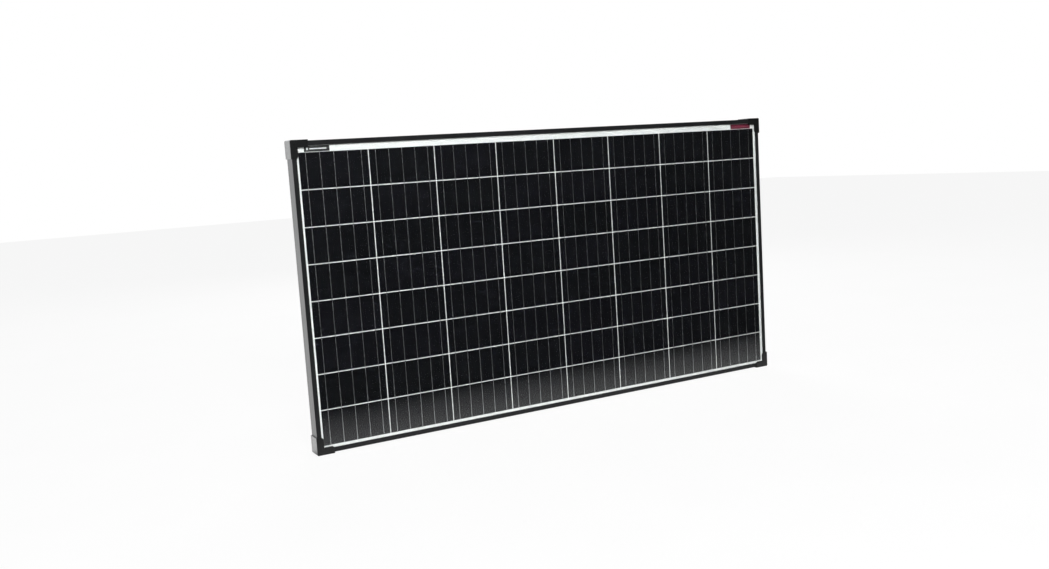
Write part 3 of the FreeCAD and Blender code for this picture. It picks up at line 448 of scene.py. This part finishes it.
# Grip ribs on the lid
RIB_COUNT = 9
RIB_PITCH = 4 * MM
RIB_HALF_WIDTH = 0.7 * MM
RIB_HEIGHT = 0.7 * MM
RIB_LENGTH = 9 * MM
RIB_START = 4 * MM
SUNK = 0.2 * MM

# The breather's place above the lid's lower edge, and its (radius, height) profile in millimetres
VENT_X = 30 * MM
VENT_UP = 56.7 * MM
VENT_PROFILE = [(6.2, -0.2), (6.2, 0.35), (5.8, 0.7), (4.4, 0.75), (4.2, 0.5), (3.6, 0.5), (3.3, 0.85),
                (1.8, 1.05), (0.6, 1.1)]

# The plus and minus marks
MARK_X = 46 * MM
MARK_UP = 17 * MM
MARK_REACH = 3 * MM
MARK_HALF_WIDTH = 0.6 * MM
MARK_HEIGHT = 0.4 * MM
MARK_GAP = 0.5 * MM


def finish_piece(name, mesh, body, material):
    """Put a bmesh into the scene as a piece that rides on a body."""
    bmesh.ops.recalc_face_normals(mesh, faces=mesh.faces)
    data = bpy.data.meshes.new(name)
    mesh.to_mesh(data)
    mesh.free()
    data.materials.append(material)
    for face in data.polygons:
        face.use_smooth = True
    piece = bpy.data.objects.new(name, data)
    bpy.context.scene.collection.objects.link(piece)
    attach(piece, body)


def sweep(rings, closed=True):
    """A tube of faces through rings of points. Rings and their sections are both closed."""
    mesh = bmesh.new()
    loops = [[mesh.verts.new(point) for point in ring] for ring in rings]
    count = len(loops)
    for index in range(count if closed else count - 1):
        here = loops[index]
        following = loops[(index + 1) % count]
        size = len(here)
        for side in range(size):
            after = (side + 1) % size
            mesh.faces.new((here[side], here[after], following[after], following[side]))
    if not closed:
        mesh.faces.new(loops[0])
        mesh.faces.new(list(reversed(loops[-1])))
    return mesh


def rounded_outline(low, high, corner, spacing):
    """Points (x, z, outward direction) round a rectangle with rounded corners."""
    centres = [(high[0] - corner, high[1] - corner), (low[0] + corner, high[1] - corner),
               (low[0] + corner, low[1] + corner), (high[0] - corner, low[1] + corner)]
    turns = []
    for quarter, (x, z) in enumerate(centres):
        for step in range(ARC_STEPS + 1):
            angle = math.radians(90 * (quarter + step / ARC_STEPS))
            out = (math.cos(angle), math.sin(angle))
            turns.append((x + corner * out[0], z + corner * out[1], out))
    outline = []
    for here, following in zip(turns, turns[1:] + turns[:1]):
        outline.append(here)
        count = round(math.dist(here[:2], following[:2]) / spacing)
        for part in range(1, count):
            share = part / count
            outline.append((here[0] + (following[0] - here[0]) * share,
                            here[1] + (following[1] - here[1]) * share, here[2]))
    return outline


def laid_bead(low, high, side, bead, seed):
    """A rounded, slightly uneven bead on the backsheet. Side is 1 to grow outward or -1 inward."""
    width, height, corner, spacing = bead
    random.seed(seed)
    rings = []
    for x, z, out in rounded_outline(low, high, corner, spacing):
        reach = side * width * random.uniform(*WIDTH_RANGE)
        rise = height * random.uniform(*HEIGHT_RANGE)
        root = side * BEAD_ROOT
        ring = [Vector((x - root * out[0], backsheet_rear, z - root * out[1]))]
        for step in range(ARC_STEPS + 1):
            angle = math.radians(90 * step / ARC_STEPS)
            bulge = 1 - BEAD_BULGE * math.sin(2 * angle)
            along = reach * math.cos(angle) * bulge
            ring.append(Vector((x + along * out[0], backsheet_rear + rise * math.sin(angle) * bulge,
                                z + along * out[1])))
        rings.append(ring)
    return sweep(rings)


def rounded_block(mesh, low, high, round_by):
    """Add a block with rounded edges, from its two corners."""
    made = bmesh.ops.create_cube(mesh, size=1)["verts"]
    size = Vector(high) - Vector(low)
    middle = (Vector(high) + Vector(low)) / 2
    bmesh.ops.scale(mesh, vec=size, verts=made)
    bmesh.ops.translate(mesh, vec=middle, verts=made)
    edges = {edge for vertex in made for edge in vertex.link_edges}
    bmesh.ops.bevel(mesh, geom=list(edges), offset=round_by, segments=2, profile=0.5, affect="EDGES")


def ring_points(centre, radius, count, height):
    """Points of a circle about an axis along Y."""
    return [Vector((centre.x + radius * math.cos(2 * math.pi * turn / count), height,
                    centre.z + radius * math.sin(2 * math.pi * turn / count))) for turn in range(count)]


def turned(centre, profile, count=32):
    """A solid turned about an axis along Y, from (radius, height) pairs that end off the axis."""
    return sweep([ring_points(centre, radius, count, height) for radius, height in profile], closed=False)


def lid_grip_ribs():
    """Ribs along the lid's lower edge, where a thumb lifts it."""
    mesh = bmesh.new()
    low = lid_low_z + RIB_START
    for index in range(RIB_COUNT):
        x = (index - RIB_COUNT // 2) * RIB_PITCH
        rounded_block(mesh, (x - RIB_HALF_WIDTH, lid_face_y - SUNK, low),
                      (x + RIB_HALF_WIDTH, lid_face_y + RIB_HEIGHT, low + RIB_LENGTH), 0.3 * MM)
    return mesh


def vent_plug():
    """The breather in the lid's raised panel: a low domed disc with a step."""
    centre = Vector((VENT_X, 0, lid_low_z + VENT_UP))
    panel_face = lid_face_y + LID_PANEL_HEIGHT
    return turned(centre, [(radius * MM, panel_face + height * MM) for radius, height in VENT_PROFILE])


def polarity_marks():
    """A raised plus and minus above the lid's two screws."""
    mesh = bmesh.new()
    middle_z = lid_low_z + MARK_UP
    bars = [(x, MARK_REACH, -MARK_HALF_WIDTH, MARK_HALF_WIDTH) for x in (-MARK_X, MARK_X)]
    bars += [(MARK_X, MARK_HALF_WIDTH, MARK_GAP, MARK_REACH),
             (MARK_X, MARK_HALF_WIDTH, -MARK_REACH, -MARK_GAP)]
    for x, reach, low, high in bars:
        rounded_block(mesh, (x - reach, lid_face_y - SUNK, middle_z + low),
                      (x + reach, lid_face_y + MARK_HEIGHT, middle_z + high), 0.15 * MM)
    return mesh


frame_inner_x = rails_half_x - LIP_WIDTH
frame_bead = laid_bead((-frame_inner_x, rails_low_z + LIP_WIDTH),
                       (frame_inner_x, rails_high_z - LIP_WIDTH), -1, FRAME_BEAD, 4)
box_bead = laid_bead((housing_low.x, lid_low_z), (housing_high.x, lid_low_z + BOX_HEIGHT),
                     1, BOX_BEAD, 11)
clear_sealant = rubber("clear_sealant", (0.60, 0.60, 0.59), (0.70, 0.70, 0.69), 0.35)
finish_piece("sealant_bead", frame_bead, "panel", clear_sealant)
finish_piece("box_adhesive_bead", box_bead, "panel", MATERIALS["silicone"])
finish_piece("lid_grip_ribs", lid_grip_ribs(), "lid", MATERIALS["box_plastic"])
finish_piece("vent_plug", vent_plug(), "lid", MATERIALS["gland_plastic"])
finish_piece("polarity_marks", polarity_marks(), "lid", MATERIALS["box_plastic"])


# ---------------------------------------------------------------- stage, light and camera

# The floor: how bright reflections see it at the front edge of its bright patch, by the panel and
# behind the panel, where that patch starts, and the floor's own glow and half size
FLOOR_FRONT = 0.02
FLOOR_NEAR = 0.85
FLOOR_BACK = 2.5
FLOOR_REACH = 0.42
FLOOR_EDGE = 0.04
FLOOR_GLOW = 0.90
FLOOR_HALF_SIZE = 12
FLOOR_DROP = 0.0002

# The world: where its bright backdrop is, and how bright it is there, opposite, and to everything else
BACKDROP_DIRECTION = (-0.55, 0.835, 0)
FRONT_LEVEL = 0.03
BACK_LEVEL = 2.6
AMBIENT_LEVEL = 0.2
WHITE = (1, 1, 1, 1)
COOL_WHITE = (0.98, 0.99, 1, 1)

# Each light: name, place, width, height and power
LIGHTS = [("key", (-1.4, -3.4, 1.9), 1.6, 1.2, 95),
          ("overhead", (0, -1.2, 3.4), 2.4, 1.6, 25),
          ("rear", (1.2, 2.8, 2.2), 1.8, 1.4, 42)]

# The camera about the cells' middle, and where it looks
CAMERA_AZIMUTH = -31.2
CAMERA_ELEVATION = 6.3
CAMERA_DISTANCE = 2.525
CAMERA_HEADING = 29.12
CAMERA_PITCH = -6.96
CAMERA_ROLL = -3.63
CAMERA_LENS = 35.18


def stage_material():
    """A pale floor. Reflections see it brightest behind the panel, and fading out ahead of it."""
    made, tree = new_material("pale_floor")
    forward = place_axes(tree)["Y"]
    mottle = noise(tree, (4, 4, 4))
    base = blend_colours(tree, spread(tree, mottle, 0, 1), (0.105, 0.105, 0.105), (0.115, 0.115, 0.115))
    ahead = spread(tree, forward, FLOOR_FRONT, FLOOR_NEAR, -FLOOR_REACH, -FLOOR_EDGE)
    behind = spread(tree, forward, 0, FLOOR_BACK - FLOOR_NEAR, 0, FLOOR_EDGE)
    lit = tree.nodes.new("ShaderNodeAddShader")
    surface = add(tree, "ShaderNodeBsdfDiffuse", {"Color": base})
    glow = add(tree, "ShaderNodeEmission", {"Color": WHITE, "Strength": FLOOR_GLOW})
    tree.links.new(surface.outputs[0], lit.inputs[0])
    tree.links.new(glow.outputs[0], lit.inputs[1])
    mirrored = add(tree, "ShaderNodeEmission",
                   {"Color": WHITE, "Strength": maths(tree, "ADD", ahead, behind)})
    glossy_ray = add(tree, "ShaderNodeLightPath").outputs["Is Glossy Ray"]
    shown(tree, mixed_shaders(tree, glossy_ray, lit, mirrored))
    return made


def build_stage():
    """The floor, just under the panel's caps."""
    mesh = bmesh.new()
    bmesh.ops.create_grid(mesh, x_segments=1, y_segments=1, size=FLOOR_HALF_SIZE)
    data = bpy.data.meshes.new("floor")
    mesh.to_mesh(data)
    mesh.free()
    data.materials.append(stage_material())
    floor = bpy.data.objects.new("floor", data)
    floor.location.z = cad_box[0][2] - FLOOR_DROP
    bpy.context.scene.collection.objects.link(floor)


def build_world():
    """White to the camera. Reflections see a bright backdrop behind and to the left, a dim front."""
    world = bpy.data.worlds.new("studio")
    world.use_nodes = True
    tree = world.node_tree
    tree.nodes.clear()
    direction = add(tree, "ShaderNodeTexCoord").outputs["Generated"]
    towards_backdrop = add(tree, "ShaderNodeVectorMath", {0: direction, 1: BACKDROP_DIRECTION},
                           operation="DOT_PRODUCT").outputs["Value"]
    level = add(tree, "ShaderNodeMapRange", {
        "Value": towards_backdrop, "From Min": 0.0, "From Max": 1.0,
        "To Min": FRONT_LEVEL, "To Max": BACK_LEVEL}, interpolation_type="SMOOTHSTEP").outputs["Result"]
    ambient = add(tree, "ShaderNodeBackground", {"Color": COOL_WHITE, "Strength": AMBIENT_LEVEL})
    mirrored = add(tree, "ShaderNodeBackground", {"Color": COOL_WHITE, "Strength": level})
    seen = add(tree, "ShaderNodeBackground", {"Color": WHITE, "Strength": 1.0})
    rays = add(tree, "ShaderNodeLightPath").outputs
    indirect = mixed_shaders(tree, rays["Is Glossy Ray"], ambient, mirrored)
    both = mixed_shaders(tree, rays["Is Camera Ray"], indirect, seen)
    output = tree.nodes.new("ShaderNodeOutputWorld")
    tree.links.new(both.outputs[0], output.inputs["Surface"])
    bpy.context.scene.world = world


def area_light(name, place, width, height, power):
    """A rectangular light aimed at the cells' middle."""
    light = bpy.data.lights.new(name, "AREA")
    light.shape = "RECTANGLE"
    light.size = width
    light.size_y = height
    light.energy = power
    item = bpy.data.objects.new(name, light)
    item.location = place
    item.rotation_euler = (cells_middle - Vector(place)).to_track_quat("-Z", "Y").to_euler()
    bpy.context.scene.collection.objects.link(item)


def build_camera():
    """The viewpoint: left of the panel and slightly above its middle, rolled a little."""
    azimuth = math.radians(CAMERA_AZIMUTH)
    elevation = math.radians(CAMERA_ELEVATION)
    heading = math.radians(CAMERA_HEADING)
    pitch = math.radians(CAMERA_PITCH)
    offset = Vector((math.sin(azimuth) * math.cos(elevation),
                     -math.cos(azimuth) * math.cos(elevation), math.sin(elevation)))
    forward = Vector((math.sin(heading) * math.cos(pitch),
                      math.cos(heading) * math.cos(pitch), math.sin(pitch)))
    data = bpy.data.cameras.new("camera")
    data.sensor_width = 36
    data.lens = CAMERA_LENS
    camera = bpy.data.objects.new("camera", data)
    camera.location = cells_middle + offset * CAMERA_DISTANCE
    turn = forward.to_track_quat("-Z", "Y") @ Quaternion((0, 0, 1), math.radians(CAMERA_ROLL))
    camera.rotation_euler = turn.to_euler()
    bpy.context.scene.collection.objects.link(camera)
    bpy.context.scene.camera = camera


build_stage()
build_world()
for light_settings in LIGHTS:
    area_light(*light_settings)
build_camera()

scene = bpy.context.scene
scene.view_settings.view_transform = "Standard"
scene.view_settings.look = "None"
